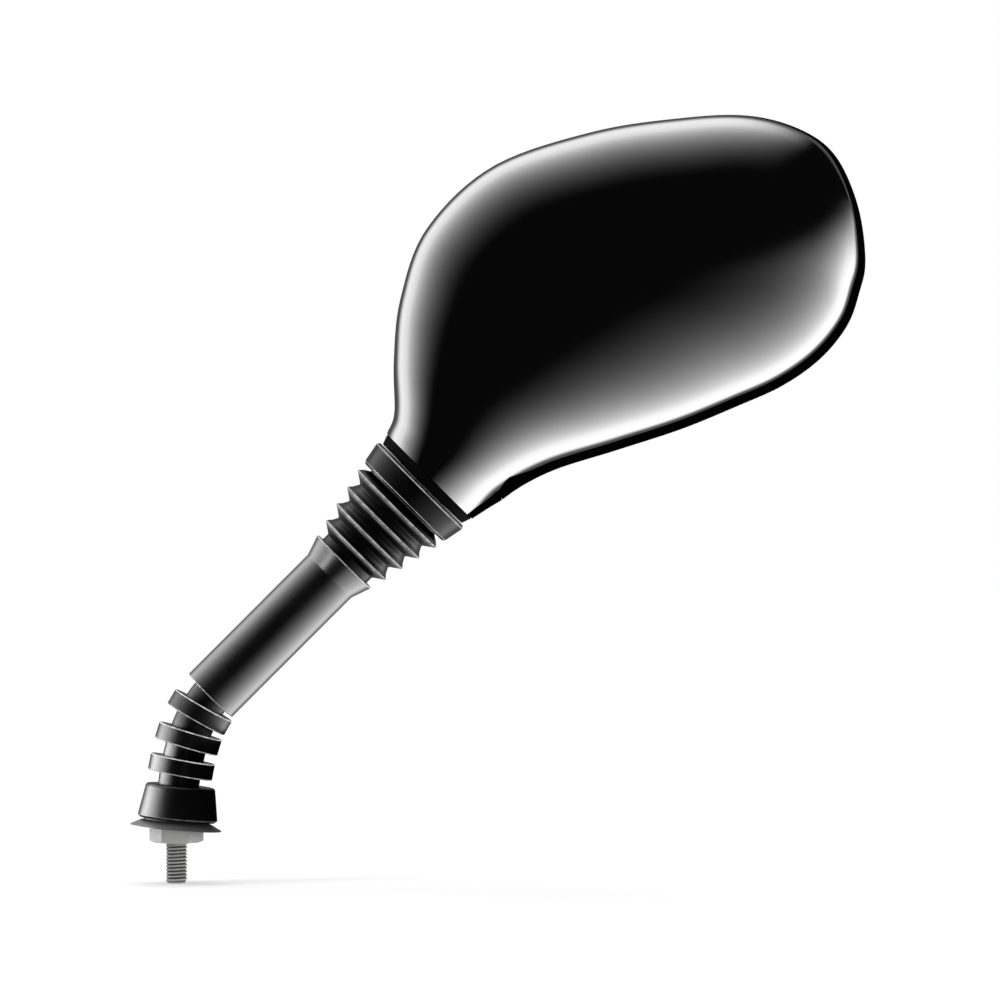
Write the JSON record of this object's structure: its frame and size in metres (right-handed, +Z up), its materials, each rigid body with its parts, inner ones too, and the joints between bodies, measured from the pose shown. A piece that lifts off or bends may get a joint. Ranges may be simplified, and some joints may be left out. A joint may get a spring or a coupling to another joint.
{
  "type": "motorcycle mirror",
  "caption": "Left-hand motorcycle mirror with a glossy black domed head, a rubber boot over its ball joint, a sleeved stem and a threaded stud with a lock nut.",
  "frame": {"origin": "on the stud's axis, in the plane of the lock nut's underside where it meets the perch", "axes": "+Z up the stud towards the stem, +X the side that the head hangs towards, +Y out of the glass towards the rider"},
  "size_m": [0.2669, 0.046, 0.2788],
  "materials": {
    "gloss_black": "gloss",
    "satin_black": "satin",
    "matte_black": "matte",
    "rubber_black": "satin",
    "zinc_steel": "satin",
    "cast_alloy": "matte",
    "nylon": "matte",
    "foam_grey": "matte",
    "mirror": "mirror"
  },
  "bodies": {
    "stem": {"stem_rod": "zinc_steel", "pivot_ball": "zinc_steel", "stem_sleeve": "satin_black", "upper_bush": "nylon", "bend_gaiter": "rubber_black"},
    "washer": {"seal_washer": "zinc_steel"},
    "nut": {"lock_nut": "zinc_steel"},
    "boot_middle": {"boot": "rubber_black"},
    "collar": {"boot_collar": "satin_black"},
    "head": {"neck_seal": "rubber_black", "socket_housing": "cast_alloy", "housing_screws": "zinc_steel", "pressure_cup": "nylon", "disc_springs": "zinc_steel", "spring_plug": "zinc_steel", "shell": "gloss_black", "backing_plate": "matte_black", "foam_pad": "foam_grey", "mirror_glass": "mirror", "bezel": "matte_black"}
  },
  "joints": [
    {"name": "nut_travel", "type": "slide", "parent": "stem", "child": "washer", "axis": [0, 0, -1], "range_m": [0, 0.0025]},
    {"name": "nut_turn", "type": "hinge", "parent": "washer", "child": "nut", "pos_m": [0, 0, 0], "axis": [0, 0, -1], "range_deg": [0, 720]},
    {"name": "tilt_up", "type": "hinge", "parent": "stem", "child": "boot_middle", "pos_m": [0.07921, 0, 0.12011], "axis": [0, 1, 0], "range_deg": [-15, 15], "deforming": ["boot"]},
    {"name": "tilt_in", "type": "hinge", "parent": "boot_middle", "child": "collar", "pos_m": [0.07921, 0, 0.12011], "axis": [0.7071, 0, -0.7071], "range_deg": [-15, 15], "deforming": ["boot"]},
    {"name": "swivel", "type": "hinge", "parent": "collar", "child": "head", "pos_m": [0.07921, 0, 0.12011], "axis": [0.7071, 0, 0.7071], "continuous": true}
  ],
  "couplings": [
    {"joint": "nut_turn", "follows": "nut_travel", "rad_per_m": 5026.5}
  ]
}
